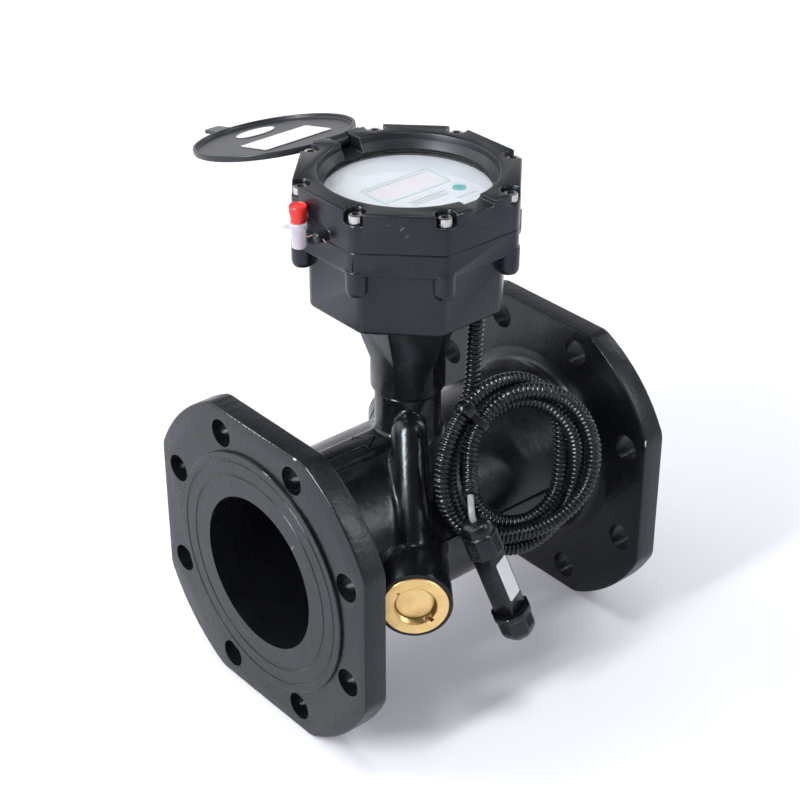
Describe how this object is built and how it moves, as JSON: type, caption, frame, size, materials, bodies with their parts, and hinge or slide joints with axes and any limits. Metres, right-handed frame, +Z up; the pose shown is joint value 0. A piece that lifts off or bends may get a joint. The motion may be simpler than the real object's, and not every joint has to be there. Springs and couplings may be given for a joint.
{
  "type": "flanged ultrasonic water meter",
  "caption": "Flanged ultrasonic water meter with a cast pipe body, an octagonal display head with a hinged lid, brass transducer nuts and a coiled cable.",
  "frame": {"origin": "middle of the inlet flange's foot, where the flange stands on the floor", "axes": "+X along the pipe from inlet to outlet, +Z up through the display head, +Y to the lid hinge side"},
  "size_m": [0.25, 0.3161, 0.333],
  "materials": {
    "cast_paint": "satin black paint on rough casting",
    "head_paint": "satin black powder coat",
    "brass": "turned brass, fine scratches",
    "steel": "bright plated steel",
    "rubber": "matte black",
    "glass": "clear",
    "dial": "pale grey printed plate",
    "display": "grey liquid crystal display",
    "lid": "dark grey",
    "white": "white",
    "red": "bright red",
    "black_plastic": "black",
    "board": "green circuit board",
    "cell": "shrink sleeve",
    "grey_cable": "light grey sheath"
  },
  "bodies": {
    "meter": {"meter_body": "cast_paint", "transducer_front": "brass", "transducer_rear": "brass", "transducer_ring_front": "brass", "transducer_ring_rear": "brass", "transducer_seal_front": "rubber", "transducer_seal_rear": "rubber", "transducer_lead_front": "grey_cable", "transducer_lead_rear": "grey_cable", "head_housing": "head_paint", "neck_seal": "rubber", "neck_screw_1": "steel", "neck_screw_2": "steel", "neck_screw_3": "steel", "housing_gasket": "rubber", "bezel_cover": "head_paint", "window_gasket": "rubber", "window_glass": "glass", "glass_retainer": "black_plastic", "dial_plate": "dial", "lcd_module": "display", "display_carrier": "black_plastic", "circuit_board": "board", "battery_cell": "cell", "cover_screw_1": "steel", "cover_screw_2": "steel", "cover_screw_3": "steel", "cover_screw_4": "steel", "cover_screw_5": "steel", "cover_screw_6": "steel", "cover_screw_7": "steel", "cover_screw_8": "steel", "hinge_pin": "steel", "seal_cap": "red", "seal_body": "white", "seal_wire": "steel", "conduit_gland": "black_plastic", "gland_nut": "black_plastic", "conduit_drop": "black_plastic", "conduit_coil": "black_plastic", "cable_tie": "black_plastic", "tail_cable": "grey_cable", "connector_nut_top": "black_plastic", "connector_barrel": "black_plastic", "connector_nut_bottom": "black_plastic", "connector_label": "white"},
    "lid": {"lid": "lid", "sticker_oval": "white", "sticker_plate": "white"}
  },
  "joints": [
    {"name": "lid_hinge", "type": "hinge", "parent": "meter", "child": "lid", "pos_m": [0.11, 0.06585, 0.3284], "axis": [1, 0, 0], "range_deg": [0, 193.3]}
  ]
}
